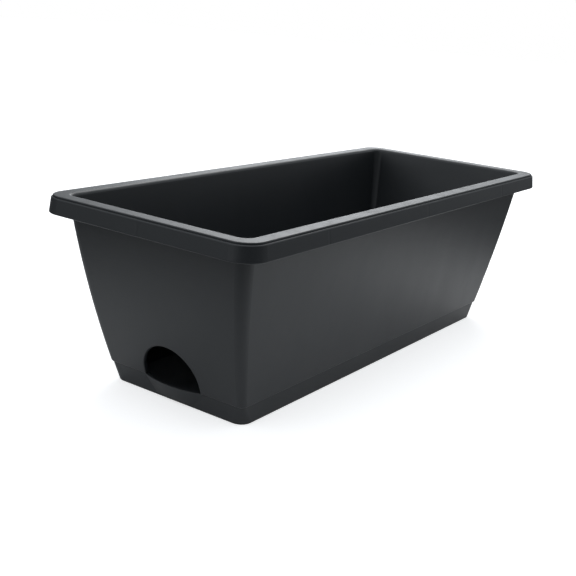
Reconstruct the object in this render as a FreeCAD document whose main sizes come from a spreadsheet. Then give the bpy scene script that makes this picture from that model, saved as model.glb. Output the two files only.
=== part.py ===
import FreeCAD, Part

import math
import os

import Sketcher

# Window box planter: a tapered trough with a turned-down rim, a base tray that it stands in,
# and a perforated soil separator that hangs inside it over the water.
# Millimetres. +X runs along the long side, +Z is up. The origin is on the ground under the
# middle of the planter, and the half-moon mouth is in the end wall at -X.

doc = FreeCAD.newDocument("WindowBoxPlanter")

# ---------------------------------------------------------------- driving dimensions

DIMENSIONS = [
    # the whole planter
    ("planter_length", 430.0),
    ("planter_width", 181.0),
    ("planter_height", 136.0),
    # rim: a flat crown, a lower shoulder outside it, and a skirt that hangs from the shoulder
    ("skirt_height", 12.3),
    ("skirt_flare", 1.5),
    ("skirt_thickness", 2.0),
    ("skirt_corner_radius", 17.0),
    ("skirt_edge_round", 0.8),
    ("crown_setback", 2.6),
    ("crown_edge_round", 0.7),
    ("crown_inner_round", 2.6),
    ("shoulder_drop", 1.4),
    ("shoulder_round", 0.9),
    ("web_thickness", 2.4),
    ("rim_overhang", 13.1),
    # gussets in the channel under the rim
    ("gusset_thickness", 1.6),
    ("gusset_spacing", 133.0),
    ("gusset_recess", 1.5),
    # trough walls
    ("wall_thickness", 2.5),
    ("wall_top_radius", 8.5),
    ("end_bow", 2.4),
    ("side_bow", 0.4),
    ("end_taper", 26.7),
    ("side_taper", 15.9),
    ("foot_radius", 4.8),
    ("foot_round", 1.4),
    ("least_corner_radius", 0.8),
    # half-moon mouth
    ("mouth_radius", 25.0),
    ("mouth_rise", 3.5),
    ("mouth_edge_round", 0.8),
    # ledge ribs that carry the separator
    ("ledge_depth", 4.0),
    ("ledge_thickness", 2.5),
    ("ledge_foot_gap", 2.0),
    ("ledge_corner_margin", 26.0),
    # base tray
    ("tray_height", 14.4),
    ("tray_setback", 1.1),
    ("tray_end_taper", 2.8),
    ("tray_side_taper", 1.0),
    ("tray_wall", 2.0),
    ("tray_floor", 2.0),
    ("tray_base_radius", 10.3),
    ("tray_base_round", 1.1),
    ("base_recess_depth", 1.0),
    ("base_recess_margin", 10.0),
    ("base_recess_radius", 4.0),
    ("collar_height", 6.0),
    ("collar_thickness", 1.8),
    ("collar_clearance", 0.4),
    ("collar_gap_margin", 2.5),
    # pouring lip under the mouth
    ("lip_side_margin", 2.0),
    ("lip_reach", 5.7),
    ("lip_foot_level", 1.5),
    ("lip_foot_narrowing", 10.0),
    ("lip_foot_reach", 1.0),
    ("lip_thickness", 1.8),
    # soil separator and its two wick cups
    ("separator_rise", 4.0),
    ("separator_clearance", 0.5),
    ("separator_plate", 2.0),
    ("separator_rim_height", 8.0),
    ("separator_rim_thickness", 1.8),
    ("cup_end_margin", 88.0),
    ("cup_mouth_radius", 28.0),
    ("cup_taper", 6.0),
    ("cup_wall", 1.8),
    ("cup_floor_gap", 2.0),
    ("cup_hole_radius", 3.0),
    ("cup_slit_width", 2.5),
    ("cup_slit_height", 22.0),
    ("cup_slit_count", 8),
    ("drain_slot_width", 3.0),
    ("drain_slot_pitch", 12.0),
    ("drain_slot_margin", 4.0),
]

sheet = doc.addObject("Spreadsheet::Sheet", "Dimensions")
for row, (alias, size) in enumerate(DIMENSIONS, start=1):
    sheet.set(f"A{row}", alias)
    sheet.set(f"B{row}", str(size))
    sheet.setAlias(f"B{row}", alias)
doc.recompute()


def dim(alias):
    """The expression that reads one cell of the sheet."""
    return f"Dimensions.{alias}"


def value_of(expression):
    """The number that an expression gives now."""
    return float(sheet.evalExpression(expression))


# ---------------------------------------------------------------- derived levels and outlines

GROUND = "0"
TOP_LEVEL = dim("planter_height")
SHOULDER_LEVEL = f"({TOP_LEVEL} - {dim('shoulder_drop')})"
WEB_LEVEL = f"({SHOULDER_LEVEL} - {dim('web_thickness')})"
SKIRT_LEVEL = f"({TOP_LEVEL} - {dim('skirt_height')})"
FOOT_LEVEL = dim("tray_height")
SHELF_LEVEL = f"({FOOT_LEVEL} - {dim('tray_wall')})"
COLLAR_LEVEL = f"({FOOT_LEVEL} + {dim('collar_height')})"
FLOOR_LEVEL = f"({dim('base_recess_depth')} + {dim('tray_floor')})"
MOUTH_SPRING_LEVEL = f"({FOOT_LEVEL} + {dim('mouth_rise')})"
SEPARATOR_LEVEL = f"({MOUTH_SPRING_LEVEL} + {dim('mouth_radius')} + {dim('separator_rise')})"
PLATE_LEVEL = f"({SEPARATOR_LEVEL} + {dim('separator_plate')})"
SEPARATOR_RIM_LEVEL = f"({SEPARATOR_LEVEL} + {dim('separator_rim_height')})"
CUP_FLOOR_LEVEL = f"({FLOOR_LEVEL} + {dim('cup_floor_gap')})"

COLLAR_FIT = f"({dim('wall_thickness')} + {dim('collar_clearance')})"
SEPARATOR_FIT = f"({dim('wall_thickness')} + {dim('separator_clearance')})"
SEPARATOR_INSIDE = f"({SEPARATOR_FIT} + {dim('separator_rim_thickness')})"

HEAD = tuple(
    f"({dim(size)} - 2 * {dim('rim_overhang')})" for size in ("planter_length", "planter_width")
)
FOOT = tuple(
    f"({head} - 2 * {dim(taper)})" for head, taper in zip(HEAD, ("end_taper", "side_taper"))
)


def halfway(low, high):
    return f"(({low} + {high}) / 2)"


def inset_outline(outline, margin):
    """A rounded rectangle (length, width, corner radius) moved in by a margin all round.

    Its corners are never sharper than the cutter that makes the mould.
    """
    length, width, radius = outline
    inner_radius = f"max({radius} - {margin}; {dim('least_corner_radius')})"
    return (f"{length} - 2 * {margin}", f"{width} - 2 * {margin}", inner_radius)


RIM_OUTLINE = (dim("planter_length"), dim("planter_width"), dim("skirt_corner_radius"))


def skirt_outline(level, inset):
    """The skirt's outer face at a level, which leans in towards the shoulder."""
    rise = f"(({level} - {SKIRT_LEVEL}) / ({SHOULDER_LEVEL} - {SKIRT_LEVEL}))"
    return inset_outline(RIM_OUTLINE, f"({dim('skirt_flare')} * {rise} + {inset})")


def wall_outline(level, inset):
    """The trough wall's outer face at a level, which bows out between its foot and the skirt."""
    rise = f"(({level} - {FOOT_LEVEL}) / ({SKIRT_LEVEL} - {FOOT_LEVEL}))"
    bulge = f"(8 * {rise} * (1 - {rise}))"
    length, width = (
        f"{foot} + ({head} - {foot}) * {rise} + {bulge} * {dim(bow)}"
        for foot, head, bow in zip(FOOT, HEAD, ("end_bow", "side_bow"))
    )
    radius = f"{dim('foot_radius')} + ({dim('wall_top_radius')} - {dim('foot_radius')}) * {rise}"
    return inset_outline((length, width, radius), inset)


def tray_outline(level, inset):
    """The base tray's outer face at a level, which narrows and rounds off towards the ground."""
    sink = f"(({FOOT_LEVEL} - {level}) / {FOOT_LEVEL})"
    length, width = (
        f"{foot} - 2 * {dim(taper)} * {sink}"
        for foot, taper in zip(FOOT, ("tray_end_taper", "tray_side_taper"))
    )
    radius = f"{dim('foot_radius')} + ({dim('tray_base_radius')} - {dim('foot_radius')}) * {sink}"
    return inset_outline((length, width, radius), f"({dim('tray_setback')} + {inset})")


# ---------------------------------------------------------------- sketches


def new_body(label):
    body = doc.addObject("PartDesign::Body", label)
    body.Label = label
    return body


def new_sketch(body, name, role, level):
    """A sketch on one of the body's origin planes, raised from it by level."""
    sketch = body.newObject("Sketcher::SketchObject", name)
    plane = next(feature for feature in body.Origin.OriginFeatures if feature.Role == role)
    sketch.AttachmentSupport = [(plane, "")]
    sketch.MapMode = "FlatFace"
    sketch.setExpression("AttachmentOffset.Base.z", level)
    return sketch


def bind(sketch, constraint, name, expression):
    """Adds a dimension to a sketch and ties it to an expression."""
    index = sketch.addConstraint(constraint)
    sketch.renameConstraint(index, name)
    sketch.setExpression(f"Constraints.{name}", expression)


ORIGIN = (-1, 1)
HORIZONTAL_AXIS = -1
VERTICAL_AXIS = -2
START, END, CENTRE = 1, 2, 3
HALF_TURN = math.pi
FULL_TURN = 360
TOLERANCE = 0.01


def outline_sketch(body, name, level, outline):
    """A rounded rectangle about the Z axis."""
    sketch = new_sketch(body, name, "XY_Plane", level)
    length, width, radius = (value_of(size) for size in outline)
    half_x = length / 2
    half_y = width / 2
    corners = []
    sides = []
    turn = FreeCAD.Vector(0, 0, 1)
    quarter = HALF_TURN / 2
    signs = ((-1, -1, 2), (1, -1, 3), (1, 1, 0), (-1, 1, 1))
    for sign_x, sign_y, quadrant in signs:
        centre = FreeCAD.Vector(sign_x * (half_x - radius), sign_y * (half_y - radius), 0)
        circle = Part.Circle(centre, turn, radius)
        arc = Part.ArcOfCircle(circle, quadrant * quarter, (quadrant + 1) * quarter)
        corners.append(sketch.addGeometry(arc))
    for here in range(4):
        following = (here + 1) % 4
        leave = sketch.getPoint(corners[here], END)
        arrive = sketch.getPoint(corners[following], START)
        sides.append(sketch.addGeometry(Part.LineSegment(leave, arrive)))
    for here in range(4):
        following = (here + 1) % 4
        sketch.addConstraint(Sketcher.Constraint("Tangent", corners[here], END, sides[here], START))
        sketch.addConstraint(Sketcher.Constraint("Tangent", sides[here], END, corners[following], START))
        direction = "Horizontal" if here % 2 == 0 else "Vertical"
        sketch.addConstraint(Sketcher.Constraint(direction, sides[here]))
        if here:
            sketch.addConstraint(Sketcher.Constraint("Equal", corners[0], corners[here]))
    centred = Sketcher.Constraint("Symmetric", corners[0], CENTRE, corners[2], CENTRE, *ORIGIN)
    sketch.addConstraint(centred)
    bind(sketch, Sketcher.Constraint("Radius", corners[0], radius), "radius", outline[2])
    across_x = Sketcher.Constraint("DistanceX", sides[3], START, sides[1], START, length)
    bind(sketch, across_x, "length", outline[0])
    across_y = Sketcher.Constraint("DistanceY", sides[0], START, sides[2], START, width)
    bind(sketch, across_y, "width", outline[1])
    return sketch


def add_polygon(sketch, tag, points):
    """A closed polygon whose corners are tied to the origin by expressions."""
    places = [FreeCAD.Vector(value_of(x), value_of(y), 0) for x, y in points]
    count = len(places)
    lines = []
    for here in range(count):
        line = Part.LineSegment(places[here], places[(here + 1) % count])
        lines.append(sketch.addGeometry(line))
    for here in range(count):
        following = lines[(here + 1) % count]
        sketch.addConstraint(Sketcher.Constraint("Coincident", lines[here], END, following, START))
    for here, (x, y) in enumerate(points):
        if x == "0":
            on_axis = Sketcher.Constraint("PointOnObject", lines[here], START, VERTICAL_AXIS)
            sketch.addConstraint(on_axis)
        else:
            at_x = Sketcher.Constraint("DistanceX", *ORIGIN, lines[here], START, places[here].x)
            bind(sketch, at_x, f"{tag}_x{here}", x)
        at_y = Sketcher.Constraint("DistanceY", *ORIGIN, lines[here], START, places[here].y)
        bind(sketch, at_y, f"{tag}_y{here}", y)


def rectangle(low_x, low_y, high_x, high_y):
    return [(low_x, low_y), (high_x, low_y), (high_x, high_y), (low_x, high_y)]


# ---------------------------------------------------------------- features


def loft(body, kind, name, sketches):
    """A loft through sketches, given from the top down. Two sections make straight sides."""
    feature = body.newObject(f"PartDesign::{kind}Loft", name)
    feature.Profile = sketches[0]
    feature.Sections = sketches[1:]
    feature.Ruled = len(sketches) == 2
    doc.recompute()
    return feature


def outline_loft(body, kind, name, shape_at, levels, inset="0"):
    """A loft through the rounded rectangles that shape_at gives at the levels."""
    return loft(body, kind, name, [
        outline_sketch(body, f"{name}_section_{number}", level, shape_at(level, inset))
        for number, level in enumerate(levels, start=1)
    ])


def extrude(body, kind, name, sketch, length, reverse=False, both_ways=False):
    """A pad or a pocket of a sketch. Its change in volume shows that it points the right way."""
    before = body.Shape.Volume
    feature = body.newObject(f"PartDesign::{kind}", name)
    feature.Profile = sketch
    feature.setExpression("Length", length)
    feature.Reversed = reverse
    feature.Midplane = both_ways
    feature.Refine = False
    doc.recompute()
    if abs(body.Shape.Volume - before) < 1.0:
        raise ValueError(f"{name} changes nothing")
    return feature


def edges_on_outline(shape, level, outline):
    """The names of the edges that lie on a rounded rectangle at a level."""
    half_x = value_of(outline[0]) / 2
    half_y = value_of(outline[1]) / 2
    height = value_of(level)
    names = []
    for number, edge in enumerate(shape.Edges, start=1):
        points = [vertex.Point for vertex in edge.Vertexes]
        flat = all(abs(point.z - height) < TOLERANCE for point in points)
        near = all(
            abs(max(abs(point.x) - half_x, abs(point.y) - half_y)) < TOLERANCE for point in points
        )
        if flat and near:
            names.append(f"Edge{number}")
    return names


def fillet(body, name, edges, radius):
    if not edges:
        raise ValueError(f"{name} finds no edges")
    base = body.Tip
    feature = body.newObject("PartDesign::Fillet", name)
    feature.Base = (base, edges)
    feature.setExpression("Radius", radius)
    doc.recompute()
    return feature


def fillet_outline(body, name, level, outline, radius):
    edges = edges_on_outline(body.Shape, level, outline)
    return fillet(body, name, edges, radius)


def row_of(body, name, feature, axis_role, pitch, count):
    """Copies of a feature at a pitch along one of the body's axes."""
    row = body.newObject("PartDesign::LinearPattern", name)
    row.Originals = [feature]
    axis = next(item for item in body.Origin.OriginFeatures if item.Role == axis_role)
    row.Direction = (axis, [""])
    row.setExpression("Length", f"{pitch} * {count - 1}")
    row.Occurrences = count
    row.Refine = False
    body.Tip = row
    doc.recompute()


# ---------------------------------------------------------------- planter body


def add_rim(body):
    """The skirt hangs from the shoulder, and the crown stands on it."""
    outline_loft(body, "Additive", "skirt_block", skirt_outline, (SHOULDER_LEVEL, SKIRT_LEVEL))
    skirt = dim("skirt_thickness")
    outline_loft(body, "Subtractive", "skirt_hollow", skirt_outline, (WEB_LEVEL, SKIRT_LEVEL), skirt)
    crown = inset_outline(RIM_OUTLINE, dim("crown_setback"))
    crown_sketch = outline_sketch(body, "crown_outline", SHOULDER_LEVEL, crown)
    extrude(body, "Pad", "crown", crown_sketch, dim("shoulder_drop"))
    fillet_outline(body, "crown_edge", TOP_LEVEL, crown, dim("crown_edge_round"))
    shoulder = skirt_outline(SHOULDER_LEVEL, "0")
    fillet_outline(body, "shoulder_edge", SHOULDER_LEVEL, shoulder, dim("shoulder_round"))
    skirt_edges = []
    for inset in ("0", skirt):
        skirt_edges += edges_on_outline(body.Shape, SKIRT_LEVEL, skirt_outline(SKIRT_LEVEL, inset))
    fillet(body, "skirt_edge", skirt_edges, dim("skirt_edge_round"))


LENGTHWISE = 0
CROSSWISE = 1


def add_rib_row(body, name, across, corners, thickness, start="0", count=1):
    """Ribs on two facing walls, from start on the low side of the middle to start on the other.

    across says which way the rib stands off its wall, and corners are (distance from the
    middle plane, level) pairs on the high side.
    """
    if across == CROSSWISE:
        plane, axis, first = "YZ_Plane", "X_Axis", f"-{start}"
    else:
        plane, axis, first = "XZ_Plane", "Y_Axis", start
    sketch = new_sketch(body, f"{name}_outlines", plane, first)
    for side, tag in ((-1, "low"), (1, "high")):
        add_polygon(sketch, tag, [(f"{side} * {distance}", level) for distance, level in corners])
    rib = extrude(body, "Pad", name, sketch, thickness, both_ways=True)
    if count > 1:
        row_of(body, f"{name}_row", rib, axis, f"2 * {start} / {count - 1}", count)


def half_way_out(outline, across):
    return f"(({outline[across]}) / 2)"


def add_gussets(body):
    """Ribs that brace the skirt against the wall in the channel under the rim."""
    low = f"({SKIRT_LEVEL} + {dim('gusset_recess')})"
    high = f"({WEB_LEVEL} + {dim('web_thickness')} / 2)"
    in_wall = f"({dim('wall_thickness')} / 2)"
    in_skirt = f"({dim('skirt_thickness')} / 2)"
    for across, name, start, count in (
        (CROSSWISE, "side_gusset", dim("gusset_spacing"), 3),
        (LENGTHWISE, "end_gusset", "0", 1),
    ):
        corners = [
            (half_way_out(wall_outline(low, in_wall), across), low),
            (half_way_out(skirt_outline(low, in_skirt), across), low),
            (half_way_out(skirt_outline(high, in_skirt), across), high),
            (half_way_out(wall_outline(high, in_wall), across), high),
        ]
        add_rib_row(body, name, across, corners, dim("gusset_thickness"), start, count)


def add_ledges(body):
    """Ribs that grow out of the walls upwards, whose flat tops carry the separator."""
    low = f"({COLLAR_LEVEL} + {dim('ledge_foot_gap')})"
    in_wall = f"({dim('wall_thickness')} / 2)"
    face = f"({dim('wall_thickness')} + {dim('ledge_depth')})"
    for across, along, name, count in (
        (CROSSWISE, LENGTHWISE, "side_ledge", 4),
        (LENGTHWISE, CROSSWISE, "end_ledge", 2),
    ):
        corners = [
            (half_way_out(wall_outline(low, in_wall), across), low),
            (half_way_out(wall_outline(SEPARATOR_LEVEL, in_wall), across), SEPARATOR_LEVEL),
            (half_way_out(wall_outline(SEPARATOR_LEVEL, face), across), SEPARATOR_LEVEL),
        ]
        start = f"({FOOT[along]} / 2 - {dim('ledge_corner_margin')})"
        add_rib_row(body, name, across, corners, dim("ledge_thickness"), start, count)


def add_mouth(body):
    """The half-moon opening low in the end wall at -X, open down to the foot."""
    inside = f"({FOOT[LENGTHWISE]} / 2 - 2 * {dim('wall_thickness')})"
    sketch = new_sketch(body, "mouth_outline", "YZ_Plane", f"-{inside}")
    below = f"({FOOT_LEVEL} - {dim('mouth_rise')})"
    add_arch(sketch, dim("mouth_radius"), MOUTH_SPRING_LEVEL, below)
    extrude(body, "Pocket", "mouth", sketch, f"{dim('planter_length')} / 2 - {inside}")
    fillet(body, "mouth_edge", outer_mouth_edges(body.Shape), dim("mouth_edge_round"))


def add_arch(sketch, radius, spring, bottom):
    """A half circle on two straight legs."""
    span = value_of(radius)
    height = value_of(spring)
    floor = value_of(bottom)
    circle = Part.Circle(FreeCAD.Vector(0, height, 0), FreeCAD.Vector(0, 0, 1), span)
    arc = sketch.addGeometry(Part.ArcOfCircle(circle, 0, HALF_TURN))
    corners = [(-span, height), (-span, floor), (span, floor), (span, height)]
    points = [FreeCAD.Vector(x, y, 0) for x, y in corners]
    left, bottom_line, right = (
        sketch.addGeometry(Part.LineSegment(*points[here:here + 2])) for here in range(3)
    )
    for constraint in (
        ("Tangent", arc, END, left, START),
        ("Coincident", left, END, bottom_line, START),
        ("Coincident", bottom_line, END, right, START),
        ("Tangent", right, END, arc, START),
        ("Vertical", left),
        ("Horizontal", bottom_line),
        ("Vertical", right),
        ("PointOnObject", arc, CENTRE, VERTICAL_AXIS),
    ):
        sketch.addConstraint(Sketcher.Constraint(*constraint))
    bind(sketch, Sketcher.Constraint("Radius", arc, span), "radius", radius)
    at_spring = Sketcher.Constraint("DistanceY", *ORIGIN, arc, CENTRE, height)
    bind(sketch, at_spring, "spring", spring)
    at_bottom = Sketcher.Constraint("DistanceY", *ORIGIN, bottom_line, START, floor)
    bind(sketch, at_bottom, "bottom", bottom)


def outer_mouth_edges(shape):
    """The mouth's arch and legs on the outside of the end wall, without its foot."""
    reach = value_of(dim("mouth_radius")) + TOLERANCE
    foot = value_of(f"{FOOT_LEVEL} + {dim('foot_round')}") - TOLERANCE
    crest = value_of(f"{MOUTH_SPRING_LEVEL} + {dim('mouth_radius')}")
    middle_of_wall = f"({dim('wall_thickness')} / 2)"
    names = []
    for number, edge in enumerate(shape.Edges, start=1):
        ends = [vertex.Point for vertex in edge.Vertexes]
        if not all(end.x < 0 and abs(end.y) < reach and foot < end.z < crest for end in ends):
            continue
        middle = edge.valueAt((edge.FirstParameter + edge.LastParameter) / 2)
        outline = wall_outline(str(middle.z), middle_of_wall)
        outside = middle.x < -value_of(half_way_out(outline, LENGTHWISE))
        if outside and abs(middle.z - ends[0].z) > TOLERANCE:
            names.append(f"Edge{number}")
    return names


def make_planter_body():
    body = new_body("planter_body")
    add_rim(body)
    add_gussets(body)
    middle = halfway(FOOT_LEVEL, SHOULDER_LEVEL)
    levels = (SHOULDER_LEVEL, middle, FOOT_LEVEL)
    outline_loft(body, "Additive", "wall_block", wall_outline, levels)
    foot = wall_outline(FOOT_LEVEL, "0")
    fillet_outline(body, "foot_edge", FOOT_LEVEL, foot, dim("foot_round"))
    wall = dim("wall_thickness")
    levels = (TOP_LEVEL, middle, FOOT_LEVEL)
    outline_loft(body, "Subtractive", "trough", wall_outline, levels, wall)
    inner = wall_outline(TOP_LEVEL, wall)
    fillet_outline(body, "crown_inner_edge", TOP_LEVEL, inner, dim("crown_inner_round"))
    add_ledges(body)
    add_mouth(body)
    return body


# ---------------------------------------------------------------- base tray


def lip_section(body, name, level, root_inset, inset, depth):
    """The pouring lip's plan at a level: a flat arc that stands out from the tray's end wall.

    It stands on a strip as deep as depth, so that it runs into the tray.
    """
    rise = f"(({level} - {dim('lip_foot_level')}) / ({FOOT_LEVEL} - {dim('lip_foot_level')}))"
    top_half = f"({dim('mouth_radius')} + {dim('lip_side_margin')})"
    half = f"({top_half} - {dim('lip_foot_narrowing')} * (1 - {rise}) - {inset})"
    top_reach = f"({dim('lip_reach')} - {dim('lip_foot_reach')})"
    reach = f"({dim('lip_foot_reach')} + {top_reach} * {rise} + {root_inset} - {inset})"
    root = f"(-{half_way_out(tray_outline(level, root_inset), LENGTHWISE)})"
    back = f"({root} + {depth})"
    radius = f"(({half} * {half} + {reach} * {reach}) / (2 * {reach}))"
    root_x, back_x, half_y = value_of(root), value_of(back), value_of(half)
    tip = FreeCAD.Vector(root_x - value_of(reach), 0, 0)
    corners = [(root_x, half_y), (back_x, half_y), (back_x, -half_y), (root_x, -half_y)]
    points = [FreeCAD.Vector(x, y, 0) for x, y in corners]
    sketch = new_sketch(body, name, "XY_Plane", level)
    arc = sketch.addGeometry(Part.Arc(points[0], tip, points[3]))
    high, low = (START, END) if sketch.getPoint(arc, START).y > 0 else (END, START)
    upper, back_line, lower = (
        sketch.addGeometry(Part.LineSegment(*points[here:here + 2])) for here in range(3)
    )
    for constraint in (
        ("Coincident", arc, high, upper, START),
        ("Coincident", upper, END, back_line, START),
        ("Coincident", back_line, END, lower, START),
        ("Coincident", lower, END, arc, low),
        ("Horizontal", upper),
        ("Vertical", back_line),
        ("Horizontal", lower),
        ("Symmetric", arc, low, arc, high, HORIZONTAL_AXIS),
    ):
        sketch.addConstraint(Sketcher.Constraint(*constraint))
    bind(sketch, Sketcher.Constraint("Radius", arc, value_of(radius)), "radius", radius)
    across = Sketcher.Constraint("DistanceY", arc, low, arc, high, 2 * half_y)
    bind(sketch, across, "width", f"2 * {half}")
    at_root = Sketcher.Constraint("DistanceX", *ORIGIN, upper, START, root_x)
    bind(sketch, at_root, "root", root)
    at_back = Sketcher.Constraint("DistanceX", *ORIGIN, upper, END, back_x)
    bind(sketch, at_back, "back", back)
    return sketch


def lip_loft(body, kind, name, levels, root_inset, inset, depth):
    loft(body, kind, name, [
        lip_section(body, f"{name}_section_{number}", level, root_inset, inset, depth)
        for number, level in enumerate(levels, start=1)
    ])


def add_pouring_lip(body):
    """The tray's wall bulges out under the mouth, and the collar is left open there."""
    levels = (FOOT_LEVEL, dim("lip_foot_level"))
    lip_loft(body, "Additive", "lip_block", levels, "0", "0", f"({dim('tray_wall')} / 2)")
    gap = new_sketch(body, "collar_gap_outline", "XY_Plane", COLLAR_LEVEL)
    half = f"({dim('mouth_radius')} + {dim('collar_gap_margin')})"
    outer = f"(-{FOOT[LENGTHWISE]} / 2)"
    through = f"({COLLAR_FIT} + 2 * {dim('collar_thickness')})"
    add_polygon(gap, "gap", rectangle(outer, f"-{half}", f"({outer} + {through})", half))
    extrude(body, "Pocket", "collar_gap", gap, dim("collar_height"))
    levels = (FOOT_LEVEL, FLOOR_LEVEL)
    wall, lip = dim("tray_wall"), dim("lip_thickness")
    lip_loft(body, "Subtractive", "lip_hollow", levels, wall, lip, through)


def make_base_tray():
    body = new_body("base_tray")
    outline_loft(body, "Additive", "tray_block", tray_outline, (FOOT_LEVEL, GROUND))
    base = tray_outline(GROUND, "0")
    fillet_outline(body, "base_edge", GROUND, base, dim("tray_base_round"))
    collar = outline_sketch(body, "collar_outline", FOOT_LEVEL, wall_outline(FOOT_LEVEL, COLLAR_FIT))
    extrude(body, "Pad", "collar_block", collar, dim("collar_height"))
    levels = (SHELF_LEVEL, FLOOR_LEVEL)
    outline_loft(body, "Subtractive", "water_hollow", tray_outline, levels, dim("tray_wall"))
    inside = wall_outline(FOOT_LEVEL, f"({COLLAR_FIT} + {dim('collar_thickness')})")
    collar_inside = outline_sketch(body, "collar_inside_outline", COLLAR_LEVEL, inside)
    extrude(body, "Pocket", "collar_inside", collar_inside, f"{COLLAR_LEVEL} - {SHELF_LEVEL}")
    length, width, _ = inset_outline(base, dim("base_recess_margin"))
    recess = outline_sketch(body, "recess_outline", GROUND, (length, width, dim("base_recess_radius")))
    extrude(body, "Pocket", "base_recess", recess, dim("base_recess_depth"), reverse=True)
    add_pouring_lip(body)
    return body


# ---------------------------------------------------------------- soil separator

CUP_PLACE = (
    f"({half_way_out(wall_outline(SEPARATOR_LEVEL, SEPARATOR_FIT), LENGTHWISE)}"
    f" - {dim('cup_end_margin')})"
)


def circle_sketch(body, name, level, centre, radius):
    sketch = new_sketch(body, name, "XY_Plane", level)
    sketch.setExpression("AttachmentOffset.Base.x", centre)
    circle = Part.Circle(FreeCAD.Vector(0, 0, 0), FreeCAD.Vector(0, 0, 1), value_of(radius))
    index = sketch.addGeometry(circle)
    sketch.addConstraint(Sketcher.Constraint("Coincident", index, CENTRE, *ORIGIN))
    bind(sketch, Sketcher.Constraint("Radius", index, value_of(radius)), "radius", radius)
    return sketch


def add_cup(body, tag, side):
    """A hollow wick cup that reaches down from the plate into the water, with slits round it."""
    centre = f"{side} * {CUP_PLACE}"
    wall = dim("cup_wall")
    mouth = dim("cup_mouth_radius")
    foot = f"({mouth} - {dim('cup_taper')})"
    inside_level = f"({CUP_FLOOR_LEVEL} + {wall})"
    hole = circle_sketch(body, f"{tag}_hole_outline", PLATE_LEVEL, centre, f"{mouth} - {wall} / 2")
    extrude(body, "Pocket", f"{tag}_hole", hole, dim("separator_plate"))
    profile = new_sketch(body, f"{tag}_profile", "XZ_Plane", "0")
    profile.setExpression("AttachmentOffset.Base.x", centre)
    add_polygon(profile, "cup", [
        ("0", CUP_FLOOR_LEVEL),
        (foot, CUP_FLOOR_LEVEL),
        (mouth, PLATE_LEVEL),
        (f"({mouth} - {wall})", PLATE_LEVEL),
        (f"({foot} - {wall})", inside_level),
        ("0", inside_level),
    ])
    cup = body.newObject("PartDesign::Revolution", tag)
    cup.Profile = profile
    cup.ReferenceAxis = (profile, ["V_Axis"])
    cup.Angle = FULL_TURN
    doc.recompute()
    drain = circle_sketch(body, f"{tag}_drain_outline", inside_level, centre, dim("cup_hole_radius"))
    extrude(body, "Pocket", f"{tag}_drain", drain, wall)
    slit_sketch = new_sketch(body, f"{tag}_slit_outline", "XZ_Plane", "0")
    slit_sketch.setExpression("AttachmentOffset.Base.x", centre)
    half = f"({dim('cup_slit_width')} / 2)"
    low = f"({inside_level} + {wall})"
    high = f"({low} + {dim('cup_slit_height')})"
    add_polygon(slit_sketch, "slit", rectangle(f"-{half}", low, half, high))
    slit = extrude(body, "Pocket", f"{tag}_slit", slit_sketch, mouth)
    ring = body.newObject("PartDesign::PolarPattern", f"{tag}_slits")
    ring.Originals = [slit]
    ring.Axis = (hole, ["N_Axis"])
    ring.Angle = FULL_TURN
    ring.setExpression("Occurrences", dim("cup_slit_count"))
    ring.Refine = False
    body.Tip = ring
    doc.recompute()


def add_slots(body, name, rows, first, last):
    """Drain slots in mirrored rows, at each multiple of the pitch from first to last."""
    pitch = dim("drain_slot_pitch")
    middle = f"({first} * {pitch})"
    half = f"({dim('drain_slot_width')} / 2)"
    sketch = new_sketch(body, f"{name}_outline", "XY_Plane", PLATE_LEVEL)
    for tag, (near, far) in rows:
        for side in (-1, 1):
            low, high = (f"{side} * {edge}" for edge in ((near, far) if side > 0 else (far, near)))
            corners = rectangle(f"({middle} - {half})", low, f"({middle} + {half})", high)
            add_polygon(sketch, f"{tag}{side + 1}", corners)
    slot = extrude(body, "Pocket", f"{name}_slot", sketch, dim("separator_plate"))
    row_of(body, f"{name}_slots", slot, "X_Axis", pitch, last - first + 1)


def add_drain_slots(body):
    """Two outer rows run past the cups, and two inner rows stop at them."""
    margin = dim("drain_slot_margin")
    cup = dim("cup_mouth_radius")
    inside = wall_outline(SEPARATOR_LEVEL, SEPARATOR_INSIDE)
    outer_row = (f"({cup} + {margin})", f"({half_way_out(inside, CROSSWISE)} - {margin})")
    inner_row = (margin, f"({cup} - {margin})")
    pitch = value_of(dim("drain_slot_pitch"))
    clear = value_of(margin) + value_of(dim("drain_slot_width")) / 2
    end = int((value_of(half_way_out(inside, LENGTHWISE)) - clear) // pitch)
    before_cup = int((value_of(f"{CUP_PLACE} - {cup}") - clear) // pitch)
    after_cup = -int(-(value_of(f"{CUP_PLACE} + {cup}") + clear) // pitch)
    both_rows = (("outer", outer_row), ("inner", inner_row))
    add_slots(body, "middle", both_rows, -before_cup, before_cup)
    add_slots(body, "left_end", both_rows, -end, -after_cup)
    add_slots(body, "right_end", both_rows, after_cup, end)
    add_slots(body, "left_cup_side", both_rows[:1], 1 - after_cup, -before_cup - 1)
    add_slots(body, "right_cup_side", both_rows[:1], before_cup + 1, after_cup - 1)


def make_soil_separator():
    body = new_body("soil_separator")
    levels = (SEPARATOR_RIM_LEVEL, SEPARATOR_LEVEL)
    outline_loft(body, "Additive", "separator_block", wall_outline, levels, SEPARATOR_FIT)
    levels = (SEPARATOR_RIM_LEVEL, PLATE_LEVEL)
    outline_loft(body, "Subtractive", "separator_dish", wall_outline, levels, SEPARATOR_INSIDE)
    add_cup(body, "left_cup", -1)
    add_cup(body, "right_cup", 1)
    add_drain_slots(body)
    return body


# ---------------------------------------------------------------- build, check and write


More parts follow.
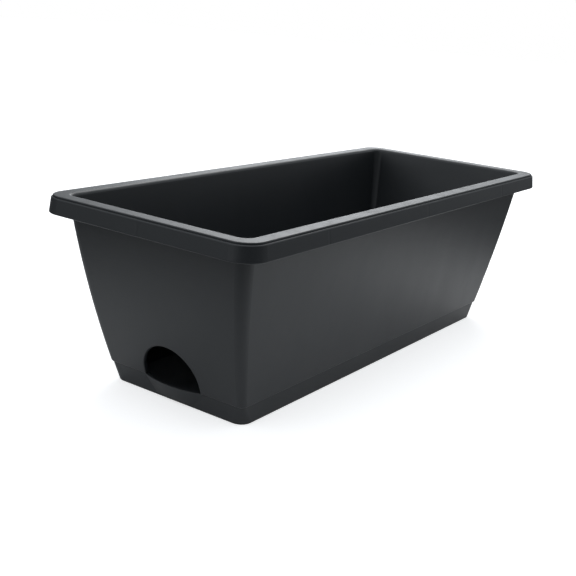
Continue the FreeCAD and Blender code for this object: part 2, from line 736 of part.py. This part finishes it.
def check_and_write(bodies):
    for item in doc.Objects:
        if "Invalid" in item.State or "Error" in item.State:
            raise ValueError(f"{item.Label} failed: {item.State}")
    for body in bodies:
        shape = body.Shape
        if shape.isNull() or not shape.isValid() or len(shape.Solids) != 1:
            raise ValueError(f"{body.Label} is not one valid solid")
    os.makedirs("parts", exist_ok=True)
    for body in bodies:
        body.Shape.exportStep(os.path.join("parts", f"{body.Label}.step"))
        print(body.Label, round(body.Shape.Volume), "mm3")


check_and_write([make_planter_body(), make_base_tray(), make_soil_separator()])
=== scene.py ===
import math

import bpy
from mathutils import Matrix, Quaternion, Vector


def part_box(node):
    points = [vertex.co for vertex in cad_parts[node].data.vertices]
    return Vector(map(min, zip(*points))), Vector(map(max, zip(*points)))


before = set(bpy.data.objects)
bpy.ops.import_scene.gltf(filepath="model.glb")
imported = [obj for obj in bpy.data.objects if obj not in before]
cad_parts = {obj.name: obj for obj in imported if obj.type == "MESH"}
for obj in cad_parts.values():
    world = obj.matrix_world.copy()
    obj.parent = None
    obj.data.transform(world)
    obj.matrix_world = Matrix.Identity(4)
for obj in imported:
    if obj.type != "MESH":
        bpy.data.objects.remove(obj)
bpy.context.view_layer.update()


# ---- Shader building ----------------------------------------------------------------------------

# Where Blender's Mix node keeps its share, its two colours and the colour that comes out.
MIX_SHARE, MIX_FIRST, MIX_SECOND, MIX_RESULT = 0, 6, 7, 2


class Quantity:
    """The output of a shader node, written in sums like a number."""

    def __init__(self, surface, socket):
        self.surface = surface
        self.socket = socket

    def sum_of(self, operation, first, second):
        return self.surface.node("ShaderNodeMath", {"operation": operation}, {0: first, 1: second})

    def __add__(self, other):
        return self.sum_of("ADD", self, other)

    def __radd__(self, other):
        return self.sum_of("ADD", other, self)

    def __sub__(self, other):
        return self.sum_of("SUBTRACT", self, other)

    def __rsub__(self, other):
        return self.sum_of("SUBTRACT", other, self)

    def __mul__(self, other):
        return self.sum_of("MULTIPLY", self, other)

    def __rmul__(self, other):
        return self.sum_of("MULTIPLY", other, self)

    def __pow__(self, other):
        return self.sum_of("POWER", self, other)

    def above(self, limit):
        return self.sum_of("GREATER_THAN", self, limit)

    def at_most(self, limit):
        return self.sum_of("MINIMUM", self, limit)

    def at_least(self, limit):
        return self.sum_of("MAXIMUM", self, limit)

    def size(self):
        return self.sum_of("ABSOLUTE", self, 0)

    def fade(self, start, end):
        """0 at start, 1 at end, eased in between."""
        span = {"Value": self, "From Min": start, "From Max": end, "To Min": 0, "To Max": 1}
        return self.surface.node("ShaderNodeMapRange", {"interpolation_type": "SMOOTHSTEP"}, span)


class Surface:
    """The node tree of one finish, of the floor or of the studio's air."""

    def __init__(self, tree):
        self.tree = tree
        tree.nodes.clear()

    def node(self, kind, settings=None, sockets=None, output=0):
        """Adds a node, sets it up, then fills or links its sockets. Gives back one output, if any."""
        made = self.tree.nodes.new(kind)
        for name, value in (settings or {}).items():
            setattr(made, name, value)
        for name, value in (sockets or {}).items():
            if isinstance(value, Quantity):
                self.tree.links.new(value.socket, made.inputs[name])
            else:
                made.inputs[name].default_value = value
        return Quantity(self, made.outputs[output]) if made.outputs else None

    def point(self):
        """The point on the surface, in metres in the planter's own frame."""
        return self.node("ShaderNodeTexCoord", output="Object")

    def place(self):
        """The same point as its x, y and z."""
        point = self.point()
        return [self.node("ShaderNodeSeparateXYZ", sockets={0: point}, output=axis) for axis in "XYZ"]

    def stretched(self, along):
        """The same point with each axis multiplied, so that a pattern on it is drawn out."""
        return self.node("ShaderNodeVectorMath", {"operation": "MULTIPLY"}, {0: self.point(), 1: along})

    def noise(self, scale, detail, roughness, along=(1, 1, 1)):
        """Cloudy noise with about scale lumps in a metre, from 0 to 1."""
        sockets = {"Vector": self.stretched(along), "Scale": scale, "Detail": detail,
                   "Roughness": roughness}
        return self.node("ShaderNodeTexNoise", {"noise_dimensions": "3D"}, sockets)

    def blend(self, share, first, second):
        """A colour between two others."""
        return self.node("ShaderNodeMix", {"data_type": "RGBA", "clamp_factor": True},
                         {MIX_SHARE: share, MIX_FIRST: first, MIX_SECOND: second}, MIX_RESULT)


def grey(level, blue=1.0):
    """A neutral colour of that linear level, a little cool where blue is over 1."""
    return (level, level * (1 + blue) / 2, level * blue, 1)


WHITE = grey(1.0)


# ---- Finishes of the planter's pieces -----------------------------------------------------------

# The gussets behind the rim's skirt, and the width of the sink mark that each leaves outside.
GUSSET_SPACING = 0.133
SINK_WIDTH = 0.0016
# The skirt's height range, how softly the marks end there, and how far in from the rim it lies.
SKIRT_LOW, SKIRT_HIGH = 0.122, 0.135
MARK_EASE = 0.003
SKIRT_INSET = 0.006
trough_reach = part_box("planter_body")[1]

# The patterns in the plastic: lumps in a metre, levels of detail and how rough the detail is.
GRAIN = (1500, 3, 0.6)
RIPPLE = (26, 2, 0.5)
CLOUDS = (14, 3, 0.55)
FLOW = (60, 4, 0.6)
SCUFFS = (240, 6, 0.75)
SPECKS = (700, 2, 0.5)
DUST = (90, 5, 0.7)
NOISE_MIDDLE = 0.5
# Flow lines are drawn out up the walls, and scuffs along the planter.
FLOW_DRAW = (1, 1, 0.08)
SCUFF_DRAW = (0.25, 1, 1)
# Where in its noise a pattern begins and where it is full, and how level a face is to hold dust.
SCUFF_EDGE = (0.60, 0.78)
SPECK_EDGE = (0.70, 0.80)
DUST_EDGE = (0.45, 0.75)
LEVEL_EDGE = (0.6, 0.98)

# How far clouds and flow lines move the colour between its dark and its light shade.
CLOUD_TONE, FLOW_TONE = 0.5, 0.25
# The dark, light and worn shades as shares of the plastic's own, and how cool each is.
DARK_SHARE, DARK_COOL = 0.8, 1.30
LIGHT_SHARE, LIGHT_COOL = 1.2, 1.34
WORN_SHARE, WORN_COOL = 2.4, 1.15
# How much of the plastic is covered where each is full.
SCUFF_COVER, SPECK_COVER, DUST_COVER = 0.35, 0.15, 0.10
DUST_COLOUR = grey(0.20, 0.98)
# How much rougher each makes the plastic.
CLOUD_ROUGH, FLOW_ROUGH = 0.10, 0.06
SCUFF_ROUGH, SPECK_ROUGH, DUST_ROUGH = 0.06, 0.08, 0.10
# The relief's heights, in units of RELIEF_UNIT metres.
RELIEF_UNIT = 0.001
FLOW_HEIGHT, RIPPLE_HEIGHT, SINK_DEPTH = 0.012, 0.25, 0.08
PLASTIC_IOR = 1.49


def sink_marks(surface, x, y, z):
    """How deep the skin has sunk in over the gussets behind the rim's skirt, from 0 to 1."""
    skirt = z.fade(SKIRT_LOW, SKIRT_LOW + MARK_EASE) * z.fade(SKIRT_HIGH, SKIRT_HIGH - MARK_EASE)
    along_side = x.size().at_most((x.size() - GUSSET_SPACING).size())
    on_side = y.size().above(trough_reach.y - SKIRT_INSET)
    on_end = x.size().above(trough_reach.x - SKIRT_INSET)
    side_mark = along_side.fade(SINK_WIDTH, 0) * on_side
    end_mark = y.size().fade(SINK_WIDTH, 0) * on_end
    return (side_mark + end_mark) * skirt


def moulded_plastic(name, shade, roughness, grain_depth, marks=None):
    """Black moulded plastic: fine grain, flow clouds and lines, scuffs, specks and dust."""
    material = bpy.data.materials.new(name)
    material.use_nodes = True
    surface = Surface(material.node_tree)
    x, y, z = surface.place()
    clouds = surface.noise(*CLOUDS)
    flow = surface.noise(*FLOW, along=FLOW_DRAW)
    scuffs = surface.noise(*SCUFFS, along=SCUFF_DRAW).fade(*SCUFF_EDGE)
    specks = surface.noise(*SPECKS).fade(*SPECK_EDGE)
    normal = surface.node("ShaderNodeNewGeometry", output="Normal")
    up = surface.node("ShaderNodeSeparateXYZ", sockets={0: normal}, output="Z")
    dust = up.fade(*LEVEL_EDGE) * surface.noise(*DUST).fade(*DUST_EDGE)

    cloud_swing = clouds - NOISE_MIDDLE
    flow_swing = flow - NOISE_MIDDLE
    tone = cloud_swing * CLOUD_TONE + flow_swing * FLOW_TONE + NOISE_MIDDLE
    body = surface.blend(tone, grey(shade * DARK_SHARE, DARK_COOL), grey(shade * LIGHT_SHARE, LIGHT_COOL))
    wear = scuffs * SCUFF_COVER + specks * SPECK_COVER
    worn = surface.blend(wear, body, grey(shade * WORN_SHARE, WORN_COOL))
    dusty = surface.blend(dust * DUST_COVER, worn, DUST_COLOUR)

    rough = (roughness + cloud_swing * CLOUD_ROUGH + flow_swing * FLOW_ROUGH
             + scuffs * SCUFF_ROUGH + specks * SPECK_ROUGH + dust * DUST_ROUGH)

    height = (surface.noise(*GRAIN) * grain_depth + flow * FLOW_HEIGHT
              + surface.noise(*RIPPLE) * RIPPLE_HEIGHT)
    if marks:
        height = height - marks(surface, x, y, z) * SINK_DEPTH
    relief = surface.node("ShaderNodeBump", sockets={
        "Strength": 1.0, "Distance": RELIEF_UNIT, "Height": height})
    shader = surface.node("ShaderNodeBsdfPrincipled", sockets={
        "Base Color": dusty, "Roughness": rough, "Normal": relief, "IOR": PLASTIC_IOR})
    surface.node("ShaderNodeOutputMaterial", sockets={"Surface": shader})
    return material


# ---- Studio -------------------------------------------------------------------------------------

FLOOR_SIZE = 12.0
# Except to the camera, the paper is painted with shade far out: it goes from the painted shade to pale
# paper between these distances from the middle.
PAPER_SHADE_EDGE = (0.5, 0.2)
PAPER_PAINTED_SHADE, PAPER_PALE = grey(0.15), grey(0.8)
# What brings the pale paper up to white for the camera.
CAMERA_LIFT = 0.6
# The painted glow of bounce light that the paper gives off round the planter though it is no lamp: where
# it begins and is full, and how bright it is.
ROUND_EDGE, PAINTED_ROUND_GLOW = (0.45, 0.2), 0.08
# A painted pool of light, where the paper glows brighter beside the planter's far end: its middle, its
# edge and its brightness.
POOL_X, POOL_Y = 0.22, -0.10
POOL_EDGE, PAINTED_POOL_GLOW = (0.18, 0.03), 0.18


def studio_floor():
    """A floor that shows white to the camera and keeps the shadow; for the rest it has painted shade far
    out and a painted glow of bounce light round the planter.
    """
    bpy.ops.mesh.primitive_plane_add(size=FLOOR_SIZE)
    floor = bpy.context.object
    floor.name = "studio_floor"
    material = bpy.data.materials.new("floor_white")
    material.use_nodes = True
    surface = Surface(material.node_tree)
    seen = surface.node("ShaderNodeLightPath", output="Is Camera Ray")
    x, y, _ = surface.place()
    from_middle = (x * x + y * y) ** 0.5
    from_light_pool = ((x - POOL_X) ** 2 + (y - POOL_Y) ** 2) ** 0.5
    # Painted shade: away from the middle the paper darkens, for everything but the camera.
    painted_lit_share = from_middle.fade(*PAPER_SHADE_EDGE).at_least(seen)
    paper = surface.node("ShaderNodeBsdfDiffuse", sockets={
        "Color": surface.blend(painted_lit_share, PAPER_PAINTED_SHADE, PAPER_PALE)})
    # Painted bounce light: the paper glows round the planter, most in a pool beside its far end, though
    # it is no lamp.
    painted_bounce_glow = from_middle.fade(*ROUND_EDGE) * PAINTED_ROUND_GLOW + from_light_pool.fade(*POOL_EDGE) * PAINTED_POOL_GLOW
    glow = seen * CAMERA_LIFT + (1 - seen) * painted_bounce_glow
    lift = surface.node("ShaderNodeEmission", sockets={"Color": WHITE, "Strength": glow})
    both = surface.node("ShaderNodeAddShader", sockets={0: paper, 1: lift})
    surface.node("ShaderNodeOutputMaterial", sockets={"Surface": both})
    floor.data.materials.append(material)


# The studio's soft walls: where each stands from the planter, how narrow its glow is, and how bright.
STUDIO_GLOWS = (
    ((0.0, 0.0, 1.0), 2.0, 1.45),
    ((0.84, 0.54, 0.0), 26.0, 3.60),
    ((0.88, -0.45, 0.14), 12.0, 0.62),
    ((0.54, -0.84, 0.0), 3.0, 0.22),
    ((-0.88, 0.42, 0.20), 8.0, 1.15),
    ((-0.84, -0.54, 0.0), 3.0, 0.06),
)
STUDIO_COOL = grey(0.96, 1.09)


def studio_air():
    """A white backdrop for the camera, and the glow of the studio's walls for everything else."""
    world = bpy.data.worlds.new("studio_air")
    world.use_nodes = True
    bpy.context.scene.world = world
    surface = Surface(world.node_tree)
    camera = surface.node("ShaderNodeLightPath", output="Is Camera Ray")
    direction = surface.node("ShaderNodeTexCoord", output="Generated")
    glow = 0
    for toward, narrowness, brightness in STUDIO_GLOWS:
        facing = surface.node("ShaderNodeVectorMath", {"operation": "DOT_PRODUCT"},
                              {0: direction, 1: toward}, output="Value")
        glow = facing.at_least(0) ** narrowness * brightness + glow
    air = surface.node("ShaderNodeBackground", sockets={
        "Color": surface.blend(camera, STUDIO_COOL, WHITE),
        "Strength": camera + (1 - camera) * glow})
    surface.node("ShaderNodeOutputWorld", sockets={"Surface": air})


def softbox(name, place, aim, size, power):
    """A rectangular soft lamp at a place, facing the aim."""
    lamp = bpy.data.lights.new(name, "AREA")
    lamp.shape = "RECTANGLE"
    lamp.size, lamp.size_y = size
    lamp.energy = power
    holder = bpy.data.objects.new(name, lamp)
    holder.location = place
    holder.rotation_mode = "QUATERNION"
    holder.rotation_quaternion = (Vector(aim) - Vector(place)).to_track_quat("-Z", "Y")
    bpy.context.scene.collection.objects.link(holder)


# ---- Camera, at the photograph's viewing angle --------------------------------------------------

CAMERA_PLACE = Vector((-0.6277, -0.4046, 0.2679))
CAMERA_AIM = Vector((-0.0375, 0.0057, 0.0540))
CAMERA_ROLL = math.radians(4.29)
# The sensor's width and the lens, both in millimetres.
SENSOR = 36.0
LENS = 59.4


def photo_camera():
    """The camera, aimed at the planter with an even horizon and then rolled a little."""
    camera = bpy.data.cameras.new("photo_camera")
    camera.sensor_width = SENSOR
    camera.lens = LENS
    holder = bpy.data.objects.new("photo_camera", camera)
    holder.location = CAMERA_PLACE
    holder.rotation_mode = "QUATERNION"
    level = (CAMERA_AIM - CAMERA_PLACE).to_track_quat("-Z", "Y")
    holder.rotation_quaternion = level @ Quaternion((0, 0, 1), CAMERA_ROLL)
    bpy.context.scene.collection.objects.link(holder)
    bpy.context.scene.camera = holder


bpy.context.scene.view_settings.view_transform = "Standard"
photo_camera()
studio_floor()
studio_air()
softbox("back_softbox", place=(0.9, 0.5, 1.0), aim=(0, 0, 0.08), size=(0.8, 0.8), power=5)

finishes = {
    "planter_body": moulded_plastic("trough_black", shade=0.014, roughness=0.38,
                                    grain_depth=0.02, marks=sink_marks),
    "base_tray": moulded_plastic("tray_black", shade=0.013, roughness=0.44, grain_depth=0.02),
    "soil_separator": moulded_plastic("separator_black", shade=0.016, roughness=0.50,
                                      grain_depth=0.03),
}
for node, finish in finishes.items():
    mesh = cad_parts[node].data
    mesh.materials.clear()
    mesh.materials.append(finish)
